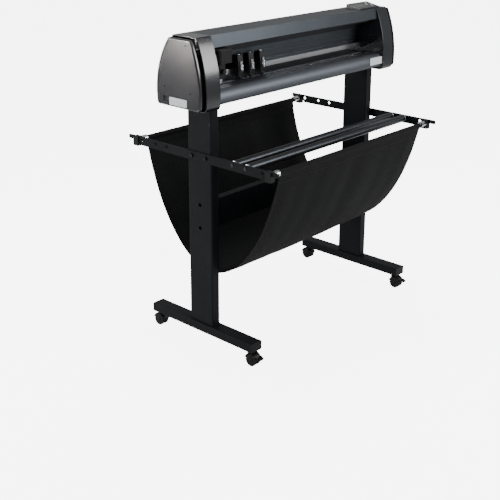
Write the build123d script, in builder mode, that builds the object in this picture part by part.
from build123d import *
from math import acos, atan2, cos, pi, sin, sqrt
import os

# Sheet-vinyl cutter on a wheeled stand with a cloth catch basket, in millimetres.
# +X runs along the machine, -Y is the operator's side, +Z is up.
# The origin is on the floor, under the middle of the machine.

# ---- driving dimensions: stand ----
column_inset = 105.0
column_width = 36.0
column_depth = 106.0
column_wall = 2.0
column_corner = 5.0
foot_width = 50.0
foot_height = 31.0
foot_wall = 2.0
foot_length = 468.0
cap_flange = 3.0
cap_plug = 14.0
stem_reach = 26.0
caster_height = 55.0
wheel_diameter = 42.0
wheel_width = 11.0
caster_trail = 14.0
plate_thick = 4.0
beam_depth = 30.0
cross_beam_height = 100.0
cross_beam_middle = 471.0
beam_bolt_pitch = 81.0
access_hole = 13.0
bolt_shank = 8.0
bolt_head = 13.0
bolt_head_height = 5.0

# ---- driving dimensions: basket arms, rods, rollers, cloth ----
arm_length = 680.0
arm_height = 30.0
arm_thick = 4.0
arm_middle = 677.0
arm_bolt_pitch = 62.0
tongue_height = 14.0
tongue_length = 54.0
taper_length = 10.0
roller_holes = (150.0, 205.0, 275.0)
roller_diameter = 26.0
roller_wall = 1.5
roller_gap = 8.0
pin_diameter = 12.0
rod_diameter = 12.0
rod_inset = 39.0
collar_diameter = 22.0
collar_length = 28.0
collar_gap = 1.0
cloth_gap = 7.0
cloth_thick = 2.4
cloth_drop = 422.0
hem_bore = 14.0

# ---- driving dimensions: machine body ----
body_length = 1050.0
hood_width = 62.0
groove_width = 14.0
cap_thick = 10.0
shell_wall = 3.0
body_floor = 847.0
body_top = 1076.0
front_low = 97.0
front_high = 58.0
back_low = 103.0
back_high = 46.0
cap_inset = 6.0
groove_inset = 14.0
hood_drop = 39.0
wall_front = 14.0
media_gap = 16.0
table_height = 910.0
table_wall = 3.0
base_thick = 3.0
shaft_y = -26.0
grit_diameter = 20.0
shaft_diameter = 16.0
journal_diameter = 10.0
lift_journal = 12.0
idler_pin = 2.5
grit_length = 60.0
grit_count = 7
grit_margin = 5.0
blade_y = -62.0
strip_width = 14.0

# ---- driving dimensions: carriage drive ----
rail_height = 15.0
rail_depth = 12.0
rail_z = 1010.5
carriage_park = 34.0
carriage_half = 28.0
belt_middle = 1028.0
belt_height = 6.0
belt_thick = 1.6
belt_y = -22.0
belt_radius = 10.0
belt_inset = 29.0
motor_side = 42.0
motor_length = 33.0
gear_module = 1.25
shaft_teeth = 48
motor_teeth = 16
gear_width = 8.0
gear_inset = 45.0
side_plate_inset = 37.0

# ---- driving dimensions: pinch rollers ----
lift_side = 16.0
lift_z = 938.0
pinch_roller = 16.0
pinch_width = 12.0
pinch_steps = (130.0, 183.0, 237.0)
arm_body_width = 24.0
lever_inset = 10.0

# ---- driving dimensions: control panel ----
panel_length = 125.0
panel_inset = 156.0
panel_front_height = 5.0
panel_back_height = 18.0
panel_front = -52.0
panel_depth = 64.0
key_side = 11.0
key_pitch = 15.0
key_height = 4.0
switch_y = 61.0
switch_z = 876.0
switch_width = 12.0
switch_height = 17.0
switch_clear = 1.0

# ---- clearances ----
run_clear = 0.05
slide_clear = 0.4
free_clear = 0.5

# ---- places that follow from the sizes above ----
flange_thick = 1.2
pulley_low = belt_middle - belt_height / 2 - 0.8 - flange_thick
half_body = body_length / 2
cap_inner = half_body - cap_thick
hood_outer = cap_inner - groove_width
hood_inner = hood_outer - hood_width
foot_top = caster_height + foot_height
base_bottom = table_height - 50.0
base_top = base_bottom + base_thick
column_top = base_bottom - plate_thick
column_x = half_body - column_inset
column_outer = column_x + column_width / 2
column_inner = column_x - column_width / 2
cloth_width = 2 * (column_inner - cloth_gap)
arm_outer = column_outer + arm_thick
arm_top = arm_middle + arm_height / 2
pin_height = arm_middle + 3.0
rod_y = arm_length / 2 - rod_inset
rod_z = arm_middle
wall_bottom = table_height + media_gap
rail_bottom = rail_z - rail_height / 2
rail_top = rail_z + rail_height / 2
shaft_z = table_height - grit_diameter / 2
pinch_z = table_height + pinch_roller / 2 + 0.6
carriage_x = carriage_park - hood_inner
pinch_places = tuple(carriage_x + step for step in pinch_steps)
lever_x = hood_inner - lever_inset
belt_half_span = hood_outer - belt_inset
gear_x = hood_outer - gear_inset
side_plate_x = hood_outer - side_plate_inset
grit_pitch = 2 * (hood_inner - grit_margin) / grit_count
panel_start = hood_outer - panel_inset
motor_y = shaft_y + gear_module * (shaft_teeth + motor_teeth) / 2
sides = (-1, 1)

os.makedirs("parts", exist_ok=True)


def save(piece, name):
    piece.part.label = name
    export_step(piece.part, f"parts/{name}.step")


def block(x, y, z, mode=Mode.ADD):
    # A box between a low and a high limit on each axis.
    middle = tuple((low + high) / 2 for low, high in (x, y, z))
    with Locations(middle):
        Box(abs(x[1] - x[0]), y[1] - y[0], z[1] - z[0], mode=mode)


def span(side, near, far):
    # Limits along X for one end of the machine, -1 left or 1 right.
    return tuple(sorted((side * near, side * far)))


def bar_x(radius, x, y, z, mode=Mode.ADD):
    with Locations(Plane(((x[0] + x[1]) / 2, y, z), z_dir=(1, 0, 0))):
        Cylinder(radius, x[1] - x[0], mode=mode)


def bar_y(radius, x, y, z, mode=Mode.ADD):
    with Locations(Plane((x, (y[0] + y[1]) / 2, z), z_dir=(0, 1, 0))):
        Cylinder(radius, y[1] - y[0], mode=mode)


def bar_z(radius, x, y, z, mode=Mode.ADD):
    with Locations((x, y, (z[0] + z[1]) / 2)):
        Cylinder(radius, z[1] - z[0], mode=mode)


def body_outline(inset=0.0, corner=16.0):
    # Side view of the covers: a soft trapezoid, wider below.
    with BuildSketch() as outline:
        with BuildLine():
            ThreePointArc((-front_low, body_floor), (-front_low + 2, body_floor + 108),
                          (-front_high, body_top))
            Line((-front_high, body_top), (back_high, body_top))
            ThreePointArc((back_high, body_top), (back_low, body_floor + 103), (back_low, body_floor))
            Line((back_low, body_floor), (-front_low, body_floor))
        make_face()
        fillet(outline.vertices().group_by(Axis.Y)[0], radius=corner)
        fillet(outline.vertices().group_by(Axis.Y)[-1], radius=corner / 3)
        if inset > 0:
            offset(amount=-inset, mode=Mode.REPLACE)
    return outline.sketch


# ---------------------------------------------------------------- stand
stem_radius = 5.0
foot_bolt_y = column_depth / 2 - 16.0
top_plate_lip = 30.0
top_bolt_x = column_inner - top_plate_lip / 2
top_bolt_y = column_depth / 2 - 14.0


def foot_bar(name, side):
    centre = side * column_x
    with BuildPart() as bar:
        with BuildSketch(Plane.XZ.offset(-foot_length / 2)):
            with Locations((centre, caster_height + foot_height / 2)):
                RectangleRounded(foot_width, foot_height, 3.0)
                Rectangle(foot_width - 2 * foot_wall, foot_height - 2 * foot_wall, mode=Mode.SUBTRACT)
        extrude(amount=foot_length)
        for end in sides:
            hole_y = end * (foot_length / 2 - stem_reach)
            bar_z(stem_radius + run_clear, centre, hole_y, (caster_height - 1, caster_height + foot_wall + 1),
                  mode=Mode.SUBTRACT)
            bar_z(bolt_shank / 2, centre, end * foot_bolt_y, (caster_height - 1, foot_top + 1),
                  mode=Mode.SUBTRACT)
    save(bar, name)


foot_bar("left_foot_bar", -1)
foot_bar("right_foot_bar", 1)

with BuildPart() as foot_end_caps:
    for side in sides:
        for end in sides:
            y_in = foot_length / 2 - cap_plug
            y_edge = foot_length / 2
            with BuildSketch(Plane.XZ.offset(-end * y_edge)):
                with Locations((side * column_x, caster_height + foot_height / 2)):
                    RectangleRounded(foot_width, foot_height, 3.0)
            extrude(amount=-end * cap_flange)
            block(span(side, column_x - foot_width / 2 + foot_wall, column_x + foot_width / 2 - foot_wall),
                  tuple(sorted((end * y_in, end * y_edge))),
                  (caster_height + foot_wall, foot_top - foot_wall))
save(foot_end_caps, "foot_end_caps")


def column(name, side):
    centre = side * column_x
    with BuildPart() as post:
        with BuildSketch(Plane.XY.offset(foot_top)):
            with Locations((centre, 0)):
                RectangleRounded(column_width, column_depth, column_corner)
                RectangleRounded(column_width - 2 * column_wall, column_depth - 2 * column_wall,
                                 column_corner - column_wall, mode=Mode.SUBTRACT)
        extrude(amount=column_top - foot_top)
        block(span(side, column_inner + column_wall, column_outer - column_wall),
              (-column_depth / 2 + column_corner, column_depth / 2 - column_corner),
              (foot_top, foot_top + plate_thick))
        block(span(side, column_inner - top_plate_lip, column_outer),
              (-column_depth / 2, column_depth / 2), (column_top, base_bottom))
        for end in sides:
            bar_z(bolt_shank / 2, centre, end * foot_bolt_y, (foot_top - 1, foot_top + plate_thick + 1),
                  mode=Mode.SUBTRACT)
            bar_z(bolt_shank / 2, side * top_bolt_x, end * top_bolt_y, (column_top - 1, base_bottom + 1),
                  mode=Mode.SUBTRACT)
            level = cross_beam_middle + end * beam_bolt_pitch / 2
            bar_x(bolt_shank / 2, span(side, column_inner - 1, column_inner + column_wall + 1), 0, level,
                  mode=Mode.SUBTRACT)
            bar_x(access_hole / 2, span(side, column_outer - column_wall - 1, column_outer + 1), 0, level,
                  mode=Mode.SUBTRACT)
            bar_x(bolt_shank / 2, span(side, column_outer - column_wall - 1, column_outer + 1),
                  end * arm_bolt_pitch / 2, arm_middle, mode=Mode.SUBTRACT)
    save(post, name)


column("left_column", -1)
column("right_column", 1)

beam_wall = 3.0
with BuildPart() as cross_beam:
    with BuildSketch(Plane.YZ.offset(-column_inner)):
        with Locations((0, cross_beam_middle)):
            RectangleRounded(beam_depth, cross_beam_height, 3.0)
            Rectangle(beam_depth - 2 * beam_wall, cross_beam_height - 2 * beam_wall, mode=Mode.SUBTRACT)
    extrude(amount=2 * column_inner)
    for side in sides:
        block(span(side, column_inner - plate_thick, column_inner),
              (-beam_depth / 2 + beam_wall, beam_depth / 2 - beam_wall),
              (cross_beam_middle - cross_beam_height / 2 + beam_wall,
               cross_beam_middle + cross_beam_height / 2 - beam_wall))
        for end in sides:
            bar_x(bolt_shank / 2, span(side, column_inner - plate_thick - 1, column_inner + 1), 0,
                  cross_beam_middle + end * beam_bolt_pitch / 2, mode=Mode.SUBTRACT)
save(cross_beam, "cross_beam")

with BuildPart() as stand_bolts:
    for side in sides:
        for end in sides:
            level = cross_beam_middle + end * beam_bolt_pitch / 2
            head_from = column_inner + column_wall
            bar_x(bolt_head / 2, span(side, head_from, head_from + bolt_head_height), 0, level)
            bar_x(bolt_shank / 2, span(side, column_inner - plate_thick, head_from), 0, level)
            bolt_y = end * arm_bolt_pitch / 2
            bar_x(bolt_head / 2, span(side, arm_outer, arm_outer + bolt_head_height), bolt_y, arm_middle)
            bar_x(bolt_shank / 2, span(side, column_outer - column_wall, arm_outer), bolt_y, arm_middle)
            foot_y = end * foot_bolt_y
            bar_z(bolt_head / 2, side * column_x, foot_y, (caster_height - bolt_head_height, caster_height))
            bar_z(bolt_shank / 2, side * column_x, foot_y, (caster_height, foot_top + plate_thick))
            top_y = end * top_bolt_y
            bar_z(bolt_head / 2, side * top_bolt_x, top_y, (column_top - bolt_head_height, column_top))
            bar_z(bolt_shank / 2, side * top_bolt_x, top_y, (column_top, base_top))
save(stand_bolts, "stand_bolts")

# ---------------------------------------------------------------- casters
hood_web = 6.0
fender_edge = 4.0
web_drop = 9.0
neck_radius = 9.0
neck_sunk = 6.0
fender_clear = 1.5
fender_thick = 2.5
axle_radius = 3.0
wheel_gap = 1.0
axle_z = wheel_diameter / 2
fender_inner = wheel_diameter / 2 + fender_clear
fender_outer = fender_inner + fender_thick
fender_width = hood_web + 2 * (wheel_gap + wheel_width)
lever_rise = 12.0
lever_gap = 1.2
lever_reach = 13.0
lever_thick = 3.0
lever_half = 9.0
ear_thick = 3.0
ear_half = 3.0
ear_inside = 2.0
brake_pin = 0.9
pin_reach = fender_outer + lever_gap + 2.0
brake_z = axle_z + lever_rise + lever_thick / 2


def caster_hood(name, x, y, trail):
    axle_y = y + trail
    with BuildPart() as hood:
        with BuildSketch(Plane.YZ.offset(x - fender_width / 2)):
            with Locations((axle_y, axle_z)):
                Circle(fender_outer)
                Circle(fender_inner, mode=Mode.SUBTRACT)
            with Locations((axle_y, axle_z + fender_edge)):
                Rectangle(4 * fender_outer, 4 * fender_outer, align=(Align.CENTER, Align.MAX),
                          mode=Mode.SUBTRACT)
        extrude(amount=fender_width)
        with BuildSketch(Plane.YZ.offset(x - hood_web / 2)):
            with Locations((axle_y, axle_z)):
                Circle(fender_inner + 1)
            with Locations((axle_y, axle_z - web_drop)):
                Rectangle(4 * fender_outer, 4 * fender_outer, align=(Align.CENTER, Align.MAX),
                          mode=Mode.SUBTRACT)
        extrude(amount=hood_web)
        bar_z(neck_radius, x, y, (axle_z + fender_inner - neck_sunk, caster_height - slide_clear))
        with BuildSketch(Plane.YZ.offset(x - fender_width / 2)):
            with Locations((axle_y, axle_z)):
                Circle(fender_inner)
        extrude(amount=fender_width / 2 - hood_web / 2, mode=Mode.SUBTRACT)
        with BuildSketch(Plane.YZ.offset(x + hood_web / 2)):
            with Locations((axle_y, axle_z)):
                Circle(fender_inner)
        extrude(amount=fender_width / 2 - hood_web / 2, mode=Mode.SUBTRACT)
        bar_z(stem_radius, x, y, (axle_z + fender_inner, caster_height + foot_wall + 3))
        bar_x(axle_radius, (x - fender_width / 2, x + fender_width / 2), axle_y, axle_z)
        if trail < 0:
            ear_y = (axle_y - pin_reach - ear_half, axle_y - fender_inner + ear_inside)
            for side in sides:
                near = lever_half + slide_clear
                ear_x = tuple(sorted((x + side * near, x + side * (near + ear_thick))))
                block(ear_x, ear_y, (brake_z - ear_half, brake_z + ear_half))
            pin_half = lever_half + ear_thick
            bar_x(brake_pin, (x - pin_half, x + pin_half), axle_y - pin_reach, brake_z)
    save(hood, name)


def caster_wheels(name, x, y, trail):
    with BuildPart() as wheels:
        for side in sides:
            near = hood_web / 2 + wheel_gap
            low, high = sorted((side * near, side * (near + wheel_width)))
            with BuildSketch(Plane.YZ.offset(x + low)):
                with Locations((y + trail, axle_z)):
                    Circle(wheel_diameter / 2)
            extrude(amount=high - low)
        fillet(wheels.edges().filter_by(GeomType.CIRCLE), radius=2.5)
        bar_x(axle_radius + run_clear, (x - fender_width, x + fender_width), y + trail, axle_z,
              mode=Mode.SUBTRACT)
    save(wheels, name)


def brake_lever(name, x, y, trail):
    root = y + trail - fender_outer - lever_gap
    tip = root - lever_reach
    low = axle_z + lever_rise
    across = (x - lever_half, x + lever_half)
    with BuildPart() as lever:
        block(across, (tip, root), (low, low + lever_thick))
        block(across, (tip, tip + lever_thick), (low - lever_thick, low))
        bar_x(brake_pin + run_clear, (x - lever_half - 1, x + lever_half + 1), y + trail - pin_reach, brake_z,
              mode=Mode.SUBTRACT)
    save(lever, name)


stem_y = foot_length / 2 - stem_reach
for side_name, side in (("l", -1), ("r", 1)):
    for end_name, end in (("f", -1), ("r", 1)):
        corner = (side * column_x, end * stem_y, end * caster_trail)
        caster_hood(f"caster_hood_{end_name}{side_name}", *corner)
        caster_wheels(f"caster_wheels_{end_name}{side_name}", *corner)
        if end == -1:
            brake_lever(f"brake_lever_{end_name}{side_name}", *corner)


# ---------------------------------------------------------------- basket arms, rods and rollers
def basket_arm(name, side):
    half = arm_length / 2
    low = arm_middle - arm_height / 2
    start = side * column_outer
    with BuildPart() as arm:
        with BuildSketch(Plane.YZ.offset(min(start, side * arm_outer))):
            with BuildLine():
                Polyline((-half, arm_top), (half, arm_top), (half, arm_top - tongue_height),
                         (half - tongue_length, arm_top - tongue_height),
                         (half - tongue_length - taper_length, low),
                         (-half + tongue_length + taper_length, low),
                         (-half + tongue_length, arm_top - tongue_height),
                         (-half, arm_top - tongue_height), close=True)
            make_face()
            fillet(vertices().group_by(Axis.X)[0] + vertices().group_by(Axis.X)[-1], radius=4.0)
        extrude(amount=arm_thick)
        for end in sides:
            for place in roller_holes:
                bar_x(pin_diameter / 2 + run_clear, span(side, column_outer - 1, arm_outer + 1),
                      end * place, pin_height, mode=Mode.SUBTRACT)
            bar_x(bolt_shank / 2, span(side, column_outer - 1, arm_outer + 1),
                  end * arm_bolt_pitch / 2, arm_middle, mode=Mode.SUBTRACT)
    save(arm, name)


basket_arm("left_arm", -1)
basket_arm("right_arm", 1)

bracket_width = 24.0
bracket_inner = column_outer - 11.0
bracket_outer = arm_outer + 5.0
bracket_low = arm_middle - arm_height / 2 - 4.0
rod_end = column_outer - 2.0
with BuildPart() as rod_brackets:
    for side in sides:
        for end in sides:
            y_limits = (end * rod_y - bracket_width / 2, end * rod_y + bracket_width / 2)
            block(span(side, bracket_inner, bracket_outer), y_limits, (bracket_low, arm_top - 1.0))
            bar_x(rod_diameter / 2, span(side, bracket_inner - 1, rod_end), end * rod_y, rod_z,
                  mode=Mode.SUBTRACT)
            block(span(side, column_outer, arm_outer), (y_limits[0] - 1, y_limits[1] + 1),
                  (arm_top - tongue_height, arm_top), mode=Mode.SUBTRACT)
save(rod_brackets, "rod_brackets")

collar_from = bracket_inner - collar_gap - collar_length
with BuildPart() as basket_rods:
    for end in sides:
        bar_x(rod_diameter / 2, (-rod_end, rod_end), end * rod_y, rod_z)
        for side in sides:
            bar_x(collar_diameter / 2, span(side, collar_from, collar_from + collar_length),
                  end * rod_y, rod_z)
save(basket_rods, "basket_rods")


def media_roller(name, y):
    half = column_outer - roller_gap
    with BuildPart() as roller:
        with BuildSketch(Plane.YZ.offset(-half)):
            with Locations((y, pin_height)):
                Circle(roller_diameter / 2)
                Circle(roller_diameter / 2 - roller_wall, mode=Mode.SUBTRACT)
        extrude(amount=2 * half)
        for side in sides:
            bar_x(roller_diameter / 2 - roller_wall, span(side, half - 20, half), y, pin_height)
            bar_x(pin_diameter / 2, span(side, half, arm_outer + 2), y, pin_height)
    save(roller, name)


media_roller("rear_media_roller", -roller_holes[0])
media_roller("front_media_roller", -roller_holes[1])

hem_wall = 2.4
cloth_top = rod_z - hem_bore / 2 - hem_wall / 2


def hang(share, inward):
    # A point of the hanging cloth: share runs from -1 at the front rod to 1 at the back rod.
    drop = 1 - share * share
    y = rod_y * share
    z = cloth_top - cloth_drop * drop ** 0.8
    slope = cloth_drop * 1.6 * share * max(drop, 0.02) ** -0.2 / rod_y
    length = sqrt(1 + slope * slope)
    return (y - inward * slope / length, z + inward / length)


hang_steps = 8
with BuildPart() as basket_fabric:
    shares = [sin(pi / 2 * step / hang_steps) for step in range(-hang_steps, hang_steps + 1)]
    with BuildSketch(Plane.YZ.offset(-cloth_width / 2)):
        with BuildLine():
            outer_line = Spline(*[hang(share, -cloth_thick / 2) for share in shares])
            inner_line = Spline(*[hang(share, cloth_thick / 2) for share in shares])
            Line(outer_line @ 0, inner_line @ 0)
            Line(outer_line @ 1, inner_line @ 1)
        make_face()
        for end in sides:
            with Locations((end * rod_y, rod_z)):
                Circle(hem_bore / 2 + hem_wall)
        for end in sides:
            with Locations((end * rod_y, rod_z)):
                Circle(hem_bore / 2, mode=Mode.SUBTRACT)
    extrude(amount=cloth_width)
save(basket_fabric, "basket_fabric")

# ---------------------------------------------------------------- machine shell
def side_cap(name, side):
    with BuildPart() as cap:
        with BuildSketch(Plane.YZ.offset(side * cap_inner)):
            add(body_outline(inset=cap_inset))
        extrude(amount=side * cap_thick)
        outer_face = cap.faces().filter_by(Axis.X).sort_by(Axis.X)[-1 if side > 0 else 0]
        fillet(outer_face.edges(), radius=5.0)
        with BuildSketch(Plane.YZ.offset(side * cap_inner)):
            add(body_outline(inset=cap_inset + 2 * shell_wall))
        extrude(amount=side * (cap_thick - shell_wall), mode=Mode.SUBTRACT)
        if side < 0:
            block(span(side, cap_inner, half_body + 1),
                  (switch_y - switch_width / 2 - switch_clear, switch_y + switch_width / 2 + switch_clear),
                  (switch_z - switch_height / 2 - switch_clear, switch_z + switch_height / 2 + switch_clear),
                  mode=Mode.SUBTRACT)
        else:
            for y, z, wide, tall in port_places:
                block(span(side, cap_inner, half_body + 1), (y - wide / 2, y + wide / 2),
                      (z - tall / 2, z + tall / 2), mode=Mode.SUBTRACT)
    save(cap, name)


# Mains inlet, serial port and data port: y, z, width, height.
port_places = ((44.0, 950.0, 28.0, 22.0), (44.0, 978.0, 31.0, 13.0), (44.0, 998.0, 13.0, 12.0))
side_cap("left_side_cap", -1)
side_cap("right_side_cap", 1)

belt_front = belt_y - belt_radius
belt_back = belt_y + belt_radius
window_low = belt_middle - belt_height / 2 - 3.0
window_high = belt_middle + belt_height / 2 + 3.0


def end_hood(name, side):
    with BuildPart() as hood:
        with BuildSketch(Plane.YZ.offset(side * hood_inner)):
            add(body_outline())
        extrude(amount=side * hood_width)
        rims = hood.faces().filter_by(Axis.X)
        fillet(rims.edges(), radius=1.5)
        with BuildSketch(Plane.YZ.offset(side * (hood_inner + shell_wall))):
            add(body_outline(inset=shell_wall))
        extrude(amount=side * (hood_width - shell_wall), mode=Mode.SUBTRACT)
        inner_wall = span(side, hood_inner - 1, hood_inner + shell_wall + 1)
        block(inner_wall, (belt_front - 4, belt_back + 4), (window_low, window_high), mode=Mode.SUBTRACT)
        bar_x(grit_diameter / 2 + 1, inner_wall, shaft_y, shaft_z, mode=Mode.SUBTRACT)
        bar_x(lift_side * 0.75, inner_wall, 0, lift_z, mode=Mode.SUBTRACT)
        block(inner_wall, (base_front, base_back), (base_bottom, base_top), mode=Mode.SUBTRACT)
    save(hood, name)


base_front = -front_low + 17.0
base_back = back_low - 8.0
end_hood("left_end_hood", -1)
end_hood("right_end_hood", 1)

beam_inset = 2.0
groove_depth = 1.5
with BuildPart() as top_beam:
    with BuildSketch(Plane.YZ.offset(-hood_inner)):
        with BuildLine():
            Polyline((-front_high + beam_inset, body_top),
                     (-front_high - 5.0, body_top - hood_drop), (wall_front, body_top - hood_drop),
                     (wall_front, wall_bottom), (back_low - 8, wall_bottom))
            ThreePointArc((back_low - 8, wall_bottom), (back_low - 12, wall_bottom + 58),
                          (back_high - beam_inset, body_top))
            Line((back_high - beam_inset, body_top), (-front_high + beam_inset, body_top))
        make_face()
        offset(amount=-shell_wall, kind=Kind.INTERSECTION, mode=Mode.SUBTRACT)
        for level in range(3):
            with Locations((wall_front, wall_bottom + 28 + 16 * level)):
                Rectangle(2 * groove_depth, 5.0, mode=Mode.SUBTRACT)
    extrude(amount=2 * hood_inner)
save(top_beam, "top_beam")

trough_half = grit_diameter / 2 + 1.5
strip_depth = 1.5
platen_low = base_top
apron_front = -front_low + 4.0
table_front = apron_front + 14.0
table_back = back_low - 4.0
with BuildPart() as platen:
    with BuildSketch(Plane.YZ.offset(-hood_inner)):
        with BuildLine():
            ThreePointArc((apron_front + 2, platen_low), (apron_front + 1, table_height - 18),
                          (table_front, table_height))
            Line((table_front, table_height), (table_back, table_height))
            Line((table_back, table_height), (table_back, platen_low))
            Line((table_back, platen_low), (apron_front + 2, platen_low))
        make_face()
        with BuildLine():
            ThreePointArc((apron_front + 2 + table_wall, platen_low - 1),
                          (apron_front + 1 + table_wall, table_height - 19),
                          (table_front + 2, table_height - table_wall - strip_depth))
            Polyline((table_front + 2, table_height - table_wall - strip_depth),
                     (table_back - table_wall, table_height - table_wall - strip_depth),
                     (table_back - table_wall, platen_low - 1),
                     (apron_front + 2 + table_wall, platen_low - 1))
        make_face(mode=Mode.SUBTRACT)
        with Locations((shaft_y, table_height)):
            Rectangle(2 * (trough_half + table_wall), grit_diameter + 6, align=(Align.CENTER, Align.MAX))
            Rectangle(2 * trough_half, grit_diameter + 3, align=(Align.CENTER, Align.MAX), mode=Mode.SUBTRACT)
        with Locations((blade_y, table_height)):
            Rectangle(strip_width, 2 * strip_depth, mode=Mode.SUBTRACT)
    extrude(amount=2 * hood_inner)
save(platen, "platen")

strip_proud = 0.4
with BuildPart() as cutting_strip:
    block((-hood_inner, hood_inner), (blade_y - strip_width / 2, blade_y + strip_width / 2),
          (table_height - strip_depth, table_height + strip_proud))
save(cutting_strip, "cutting_strip")

# ---------------------------------------------------------------- chassis
side_plate_thick = 3.0
side_plate_top = lift_z + 18.0
shelf_thick = 3.0
shelf_top = belt_middle - belt_height / 2 - 6.0
shelf_front = belt_y - motor_side / 2
shelf_back = belt_y + motor_side / 2
pillar_back = 60.0
tab_thick = 3.0
tab_height = 14.0
shelf_x = (belt_half_span - motor_side / 2, belt_half_span + motor_side / 2)
with BuildPart() as chassis:
    block((-hood_outer, hood_outer), (base_front, base_back), (base_bottom, base_top))
    for side in sides:
        with BuildSketch(Plane.YZ.offset(side * hood_outer)):
            add(body_outline(inset=groove_inset))
        extrude(amount=side * groove_width)
        plate = span(side, side_plate_x, side_plate_x + side_plate_thick)
        block(plate, (base_front, base_back - 14), (base_top, side_plate_top))
        block(span(side, hood_outer - tab_thick, hood_outer), (base_front, base_back),
              (base_bottom, base_top + tab_height))
        block(plate, (shelf_back + slide_clear, pillar_back), (side_plate_top, shelf_top))
        block(span(side, *shelf_x), (shelf_front, pillar_back), (shelf_top - shelf_thick, shelf_top))
        bar_x(journal_diameter / 2 + run_clear, (plate[0] - 1, plate[1] + 1), shaft_y, shaft_z,
              mode=Mode.SUBTRACT)
        bar_x(lift_journal / 2 + run_clear, (plate[0] - 1, plate[1] + 1), 0, lift_z, mode=Mode.SUBTRACT)
        for end in sides:
            bar_z(bolt_shank / 2, side * top_bolt_x, end * top_bolt_y, (base_bottom - 1, base_top + 1),
                  mode=Mode.SUBTRACT)
    bar_z(idler_pin, -belt_half_span, belt_y, (shelf_top, belt_middle + belt_height / 2 + 4))
    bar_z(idler_pin + 2, -belt_half_span, belt_y, (shelf_top, pulley_low - slide_clear))
    bar_z(4.0, belt_half_span, belt_y, (shelf_top - shelf_thick - 1, shelf_top + 1), mode=Mode.SUBTRACT)
    bar_x(5.0, (side_plate_x - 1, side_plate_x + side_plate_thick + 1), motor_y, shaft_z, mode=Mode.SUBTRACT)
    for y, z, wide, tall in port_places:
        block((hood_outer - 1, cap_inner + 1), (y - wide / 2, y + wide / 2),
              (z - tall / 2, z + tall / 2), mode=Mode.SUBTRACT)
save(chassis, "chassis")

# ---------------------------------------------------------------- carriage and its drive
rail_end = hood_inner - 3.0
with BuildPart() as guide_rail:
    block((-rail_end, rail_end), (wall_front - rail_depth, wall_front), (rail_bottom, rail_top))
save(guide_rail, "guide_rail")

rail_front = wall_front - rail_depth
plate_front = -50.0
plate_back = -44.0
bearing_lip = 4.0
carriage_low = 932.0
carriage_top = rail_top + bearing_lip
jaw_half = 12.0
holder_radius = 6.0
slide_half = 16.0
slide_low = 938.0
slide_high = 984.0
knob_z = 961.0
knob_screw = 5.0
with BuildPart() as carriage_frame:
    x_limits = (carriage_x - carriage_half, carriage_x + carriage_half)
    block(x_limits, (plate_front, plate_back), (carriage_low, carriage_top))
    block(x_limits, (plate_back, wall_front - 4), (rail_bottom - bearing_lip, carriage_top))
    block((x_limits[0] - 1, x_limits[1] + 1), (rail_front - slide_clear, wall_front),
          (rail_bottom - slide_clear, rail_top + slide_clear), mode=Mode.SUBTRACT)
    block((carriage_x - jaw_half, carriage_x + jaw_half), (belt_front - 7, belt_front + 6),
          (carriage_top, belt_middle + belt_height / 2 + 2))
    block((carriage_x - jaw_half - 1, carriage_x + jaw_half + 1),
          (belt_front - belt_thick / 2 - slide_clear, belt_front + belt_thick / 2 + slide_clear),
          (belt_middle - belt_height / 2 - slide_clear, carriage_top + 20), mode=Mode.SUBTRACT)
save(carriage_frame, "carriage_frame")

cover_half = carriage_half + 1.0
cover_front = -92.0
cover_low = 989.0
cover_top = 1033.0
cover_wall = 2.0
cover_nose = 9.0
with BuildPart() as carriage_cover:
    block((carriage_x - cover_half, carriage_x + cover_half), (cover_front, plate_front),
          (cover_low, cover_top))
    fillet(carriage_cover.edges().filter_by(Axis.Z).group_by(Axis.Y)[0], radius=8.0)
    fillet(carriage_cover.faces().sort_by(Axis.Z)[-1].edges().group_by(Axis.Y)[0], radius=3.0)
    block((carriage_x - cover_half + cover_wall, carriage_x + cover_half - cover_wall),
          (cover_front + cover_nose, plate_front + 1), (cover_low - 1, cover_top - cover_wall),
          mode=Mode.SUBTRACT)
save(carriage_cover, "carriage_cover")

slide_front = blade_y - holder_radius - 6.0
with BuildPart() as tool_slide:
    block((carriage_x - slide_half, carriage_x + slide_half), (slide_front, plate_front - slide_clear),
          (slide_low, slide_high))
    fillet(tool_slide.edges().filter_by(Axis.Z).group_by(Axis.Y)[0], radius=5.0)
    bar_z(holder_radius, carriage_x, blade_y, (slide_low - 1, slide_high + 1), mode=Mode.SUBTRACT)
    bar_y(knob_screw / 2 + run_clear, carriage_x, (slide_front - 1, blade_y - holder_radius + 1), knob_z,
          mode=Mode.SUBTRACT)
save(tool_slide, "tool_slide")

holder_cap = 8.5
tip_gap = 4.2
blade_length = 9.0
with BuildPart() as blade_holder:
    tip_z = table_height + tip_gap
    bar_z(holder_radius, carriage_x, blade_y, (tip_z + blade_length, slide_high + 1))
    bar_z(holder_cap, carriage_x, blade_y, (slide_low - 8, slide_low))
    with Locations((carriage_x, blade_y, tip_z)):
        Cone(0.6, 3.0, blade_length, align=(Align.CENTER, Align.CENTER, Align.MIN))
save(blade_holder, "blade_holder")

knob_radius = 8.0
knob_length = 10.0
screw_reach = blade_y - holder_radius - slide_clear
with BuildPart() as clamp_knob:
    knob_back = slide_front - slide_clear
    bar_y(knob_radius, carriage_x, (knob_back - knob_length, knob_back), knob_z)
    fillet(clamp_knob.edges().filter_by(GeomType.CIRCLE), radius=1.5)
    bar_y(knob_screw / 2, carriage_x, (knob_back, screw_reach), knob_z)
save(clamp_knob, "clamp_knob")


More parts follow.
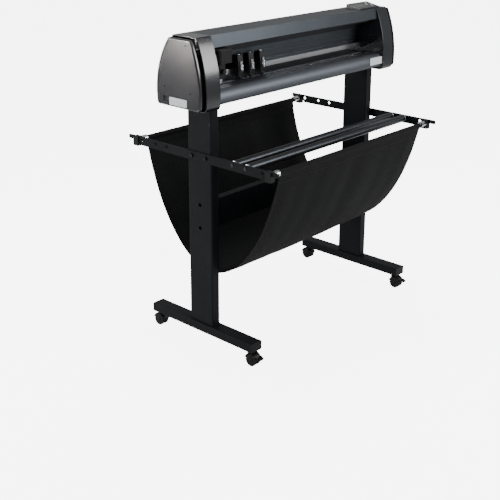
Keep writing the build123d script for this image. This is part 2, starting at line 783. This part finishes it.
with BuildPart() as drive_belt:
    with BuildSketch(Plane.XY.offset(belt_middle - belt_height / 2)):
        with Locations((0, belt_y)):
            SlotCenterToCenter(2 * belt_half_span, 2 * belt_radius + belt_thick)
            SlotCenterToCenter(2 * belt_half_span, 2 * belt_radius - belt_thick, mode=Mode.SUBTRACT)
    extrude(amount=belt_height)
save(drive_belt, "drive_belt")

pulley_radius = belt_radius - belt_thick / 2 - slide_clear
flange_radius = belt_radius + 1.5
pulley_high = belt_middle + belt_height / 2 + 0.8 + flange_thick


def pulley(x):
    bar_z(pulley_radius, x, belt_y, (pulley_low, pulley_high))
    bar_z(flange_radius, x, belt_y, (pulley_low, pulley_low + flange_thick))
    bar_z(flange_radius, x, belt_y, (pulley_high - flange_thick, pulley_high))


with BuildPart() as idler_pulley:
    pulley(-belt_half_span)
    bar_z(idler_pin + run_clear, -belt_half_span, belt_y, (pulley_low - 1, pulley_high + 1),
          mode=Mode.SUBTRACT)
save(idler_pulley, "idler_pulley")

motor_shaft = 2.5
with BuildPart() as motor_pulley:
    pulley(belt_half_span)
    bar_z(motor_shaft, belt_half_span, belt_y, (shelf_top - shelf_thick + slide_clear, pulley_low))
save(motor_pulley, "motor_pulley")

motor_face = side_plate_x + side_plate_thick
with BuildPart() as stepper_motors:
    block(shelf_x, (shelf_front, shelf_back),
          (shelf_top - shelf_thick - motor_length, shelf_top - shelf_thick))
    block((motor_face, motor_face + motor_length), (motor_y - motor_side / 2, motor_y + motor_side / 2),
          (shaft_z - motor_side / 2, shaft_z + motor_side / 2))
    chamfer(stepper_motors.edges().filter_by(Axis.Z).filter_by_position(Axis.Z, shelf_top - 60, shelf_top),
            length=4.0)
    chamfer(stepper_motors.edges().filter_by(Axis.X).filter_by_position(Axis.Z, 0, shelf_top - 60),
            length=4.0)
save(stepper_motors, "stepper_motors")

# ---------------------------------------------------------------- media feed
shaft_end = side_plate_x - 1.0
journal_end = side_plate_x + side_plate_thick + 1.5
with BuildPart() as drive_shaft:
    bar_x(shaft_diameter / 2, (-shaft_end, shaft_end), shaft_y, shaft_z)
    bar_x(journal_diameter / 2, (-journal_end, journal_end), shaft_y, shaft_z)
    for index in range(grit_count):
        middle = (index - (grit_count - 1) / 2) * grit_pitch
        bar_x(grit_diameter / 2, (middle - grit_length / 2, middle + grit_length / 2), shaft_y, shaft_z)
save(drive_shaft, "drive_shaft")

pressure_angle = 20 * pi / 180
backlash = 0.30
flank_steps = 4


def involute(angle):
    return sin(angle) / cos(angle) - angle


def gear_outline(teeth, y, z, phase):
    pitch_radius = gear_module * teeth / 2
    base_radius = pitch_radius * cos(pressure_angle)
    root_radius = pitch_radius - 1.25 * gear_module
    tip_radius = pitch_radius + 0.92 * gear_module
    half_tooth = (pi * gear_module / 2 - backlash) / (2 * pitch_radius)
    lowest = max(base_radius, root_radius) + 0.01
    flank = []
    for step in range(flank_steps + 1):
        radius = lowest + (tip_radius - lowest) * step / flank_steps
        turn = half_tooth + involute(pressure_angle) - involute(acos(base_radius / radius))
        flank.append((radius, turn))
    flank.insert(0, (root_radius, flank[0][1]))
    points = []
    for tooth in range(teeth):
        centre = 2 * pi * tooth / teeth + phase
        rising = [(radius, centre - turn) for radius, turn in flank]
        falling = [(radius, centre + turn) for radius, turn in reversed(flank)]
        for radius, angle in rising + falling:
            points.append((y + radius * cos(angle), z + radius * sin(angle)))
    with BuildSketch() as outline:
        with BuildLine():
            Polyline(points, close=True)
        make_face()
    return outline.sketch


with BuildPart() as shaft_gear:
    with BuildSketch(Plane.YZ.offset(gear_x - gear_width / 2)):
        add(gear_outline(shaft_teeth, shaft_y, shaft_z, 0.0))
        with Locations((shaft_y, shaft_z)):
            Circle(shaft_diameter / 2, mode=Mode.SUBTRACT)
    extrude(amount=gear_width)
save(shaft_gear, "shaft_gear")

with BuildPart() as motor_gear:
    with BuildSketch(Plane.YZ.offset(gear_x - gear_width / 2)):
        add(gear_outline(motor_teeth, motor_y, shaft_z, pi / motor_teeth))
    extrude(amount=gear_width)
    bar_x(motor_shaft, (gear_x, motor_face - slide_clear), motor_y, shaft_z)
save(motor_gear, "motor_gear")

# ---------------------------------------------------------------- pinch rollers
with BuildPart() as lift_shaft:
    block((-shaft_end, shaft_end), (-lift_side / 2, lift_side / 2),
          (lift_z - lift_side / 2, lift_z + lift_side / 2))
    bar_x(lift_journal / 2, (-journal_end, journal_end), 0, lift_z)
save(lift_shaft, "lift_shaft")

lever_width = 10.0
lever_hub = 13.0
lever_tip_y = -56.0
lever_tip_rise = 24.0
lever_tip_radius = 6.5
with BuildPart() as lift_lever:
    with BuildSketch(Plane.YZ.offset(lever_x - lever_width / 2)):
        with Locations((0, lift_z)):
            Circle(lever_hub)
        with Locations((lever_tip_y, lift_z + lever_tip_rise)):
            Circle(lever_tip_radius)
        make_hull()
        with Locations((0, lift_z)):
            Rectangle(lift_side, lift_side, mode=Mode.SUBTRACT)
    extrude(amount=lever_width)
save(lift_lever, "lift_lever")

arm_heel = 9.0
arm_toe = -33.0
arm_crown = lift_z + 52.0
pinch_pin = 2.0
cheek_radius = 5.5
fork_half = pinch_width / 2 + slide_clear


def pinch_arm(name, x):
    with BuildPart() as arm:
        with BuildSketch(Plane.YZ.offset(x - arm_body_width / 2)):
            with BuildLine():
                Polyline((arm_toe, pinch_z + 2), (arm_toe, lift_z + 12), (arm_toe + 6, arm_crown),
                         (-5, arm_crown), (arm_heel, lift_z + 12), (arm_heel, lift_z - 12),
                         (shaft_y + 8, pinch_z - 3), (shaft_y, pinch_z - cheek_radius), close=True)
            make_face()
            with Locations((shaft_y, pinch_z)):
                Circle(cheek_radius)
            with Locations((0, lift_z)):
                Rectangle(lift_side + 2 * slide_clear, lift_side + 2 * slide_clear, mode=Mode.SUBTRACT)
        extrude(amount=arm_body_width)
        block((x - fork_half, x + fork_half), (arm_toe - 2, shaft_y + pinch_roller / 2 + slide_clear),
              (table_height, pinch_z + pinch_roller / 2 + slide_clear), mode=Mode.SUBTRACT)
        bar_x(pinch_pin, (x - arm_body_width / 2, x + arm_body_width / 2), shaft_y, pinch_z)
    save(arm, name)


def pinch_wheel(name, x):
    with BuildPart() as roller:
        bar_x(pinch_roller / 2, (x - pinch_width / 2, x + pinch_width / 2), shaft_y, pinch_z)
        fillet(roller.edges().filter_by(GeomType.CIRCLE), radius=1.0)
        bar_x(pinch_pin + run_clear, (x - pinch_width, x + pinch_width), shaft_y, pinch_z, mode=Mode.SUBTRACT)
    save(roller, name)


for number, place in enumerate(pinch_places, start=1):
    pinch_arm(f"pinch_arm_{number}", place)
    pinch_wheel(f"pinch_roller_{number}", place)

# ---------------------------------------------------------------- control panel, switch and board
panel_slope = atan2(panel_back_height - panel_front_height, panel_depth)
panel_middle = (panel_start + panel_length / 2, panel_front + panel_depth / 2,
                body_top + (panel_front_height + panel_back_height) / 2)
panel_plane = Plane(origin=panel_middle, x_dir=(1, 0, 0), z_dir=(0, -sin(panel_slope), cos(panel_slope)))
key_cross_x = 34.0
key_places = {"left": (-1, 0), "right": (1, 0), "back": (0, 1), "front": (0, -1)}
key_well = 5.5
key_sunk = 3.0
display_size = (62.0, 30.0)
display_x = -24.0
display_depth = 1.5

with BuildPart() as control_panel:
    panel_back = panel_front + panel_depth
    with BuildSketch(Plane.YZ.offset(panel_start)):
        with BuildLine():
            Polyline((panel_front, body_top), (panel_back, body_top),
                     (panel_back, body_top + panel_back_height),
                     (panel_front, body_top + panel_front_height), close=True)
        make_face()
    extrude(amount=panel_length)
    fillet(control_panel.faces().sort_by(Axis.Z)[-1].edges(), radius=2.0)
    with BuildSketch(panel_plane):
        with Locations((display_x, 0)):
            Rectangle(*display_size)
    extrude(amount=-display_depth, mode=Mode.SUBTRACT)
    with BuildSketch(panel_plane):
        for across, along in key_places.values():
            with Locations((key_cross_x + across * key_pitch, along * key_pitch)):
                Rectangle(key_side + 2 * free_clear, key_side + 2 * free_clear)
    extrude(amount=-key_well, mode=Mode.SUBTRACT)
save(control_panel, "control_panel")

for key_name, (across, along) in key_places.items():
    with BuildPart() as jog_key:
        with BuildSketch(panel_plane.offset(-key_sunk)):
            with Locations((key_cross_x + across * key_pitch, along * key_pitch)):
                RectangleRounded(key_side, key_side, 1.5)
        extrude(amount=key_height)
    save(jog_key, f"jog_key_{key_name}")

switch_out = half_body - 1.4
switch_in = cap_inner + 2.0
switch_dish = 1.0
with BuildPart() as power_switch:
    with BuildSketch(Plane.XZ.offset(-switch_y - switch_width / 2)):
        with BuildLine():
            Polyline((-switch_in, switch_z - switch_height / 2), (-switch_in, switch_z + switch_height / 2),
                     (-switch_out, switch_z + switch_height / 2), (-switch_out + switch_dish, switch_z),
                     (-switch_out, switch_z - switch_height / 2), close=True)
        make_face()
    extrude(amount=switch_width)
save(power_switch, "power_switch")

board_x = hood_outer - 14.0
board_thick = 1.6
board_y = (18.0, 74.0)
board_z = (936.0, 1006.0)
with BuildPart() as control_board:
    block((board_x, board_x + board_thick), board_y, board_z)
    for y, z, wide, tall in port_places:
        block((board_x + board_thick, half_body - 1.0), (y - wide / 2 + 0.4, y + wide / 2 - 0.4),
              (z - tall / 2 + 0.4, z + tall / 2 - 0.4))
save(control_board, "control_board")
